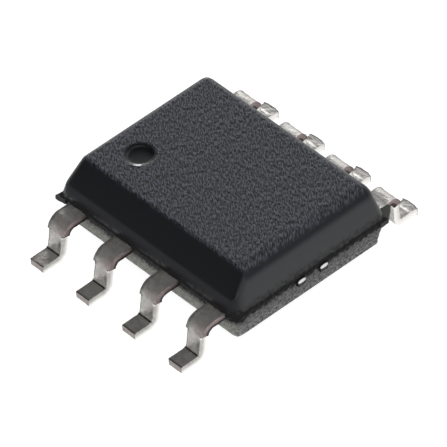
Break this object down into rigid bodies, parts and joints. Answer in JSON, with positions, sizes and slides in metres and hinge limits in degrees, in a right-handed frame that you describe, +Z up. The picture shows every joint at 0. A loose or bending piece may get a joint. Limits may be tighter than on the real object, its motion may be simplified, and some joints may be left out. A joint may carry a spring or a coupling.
{
  "type": "small-outline integrated circuit",
  "caption": "Narrow small-outline integrated circuit: black moulded body with a bevelled side and a round lead 1 mark, gull-wing leads along both long sides.",
  "frame": {"origin": "on the board, in the plane of the undersides of the feet, under the middle of the body", "axes": "+X along the rows of leads, from lead 1 to lead 4; +Y across the body, from leads 1 to 4 towards leads 5 to 8; +Z up, away from the board"},
  "size_m": [0.005, 0.006, 0.0016],
  "materials": {
    "mould_compound": "epoxy mould compound, finely pebbled on top, satin on the bevel and ends, rough below the parting line",
    "tin_plate": "matte tin plate on copper alloy, dull grey with small pits, bare brown metal where the dambar was cut",
    "frame_copper": "stamped copper alloy, sheared bright where the tie bars are cut",
    "silver_adhesive": "cured silver-filled epoxy",
    "silicon": "polished and sawn silicon",
    "wire_gold": "drawn gold wire"
  },
  "bodies": {
    "root": {"mould_body": "mould_compound", "lead_1": "tin_plate", "lead_2": "tin_plate", "lead_3": "tin_plate", "lead_4": "tin_plate", "lead_5": "tin_plate", "lead_6": "tin_plate", "lead_7": "tin_plate", "lead_8": "tin_plate", "die_paddle": "frame_copper", "die_adhesive": "silver_adhesive", "silicon_die": "silicon", "bond_wire_1": "wire_gold", "bond_wire_2": "wire_gold", "bond_wire_3": "wire_gold", "bond_wire_4": "wire_gold", "bond_wire_5": "wire_gold", "bond_wire_6": "wire_gold", "bond_wire_7": "wire_gold", "bond_wire_8": "wire_gold"}
  },
  "joints": []
}
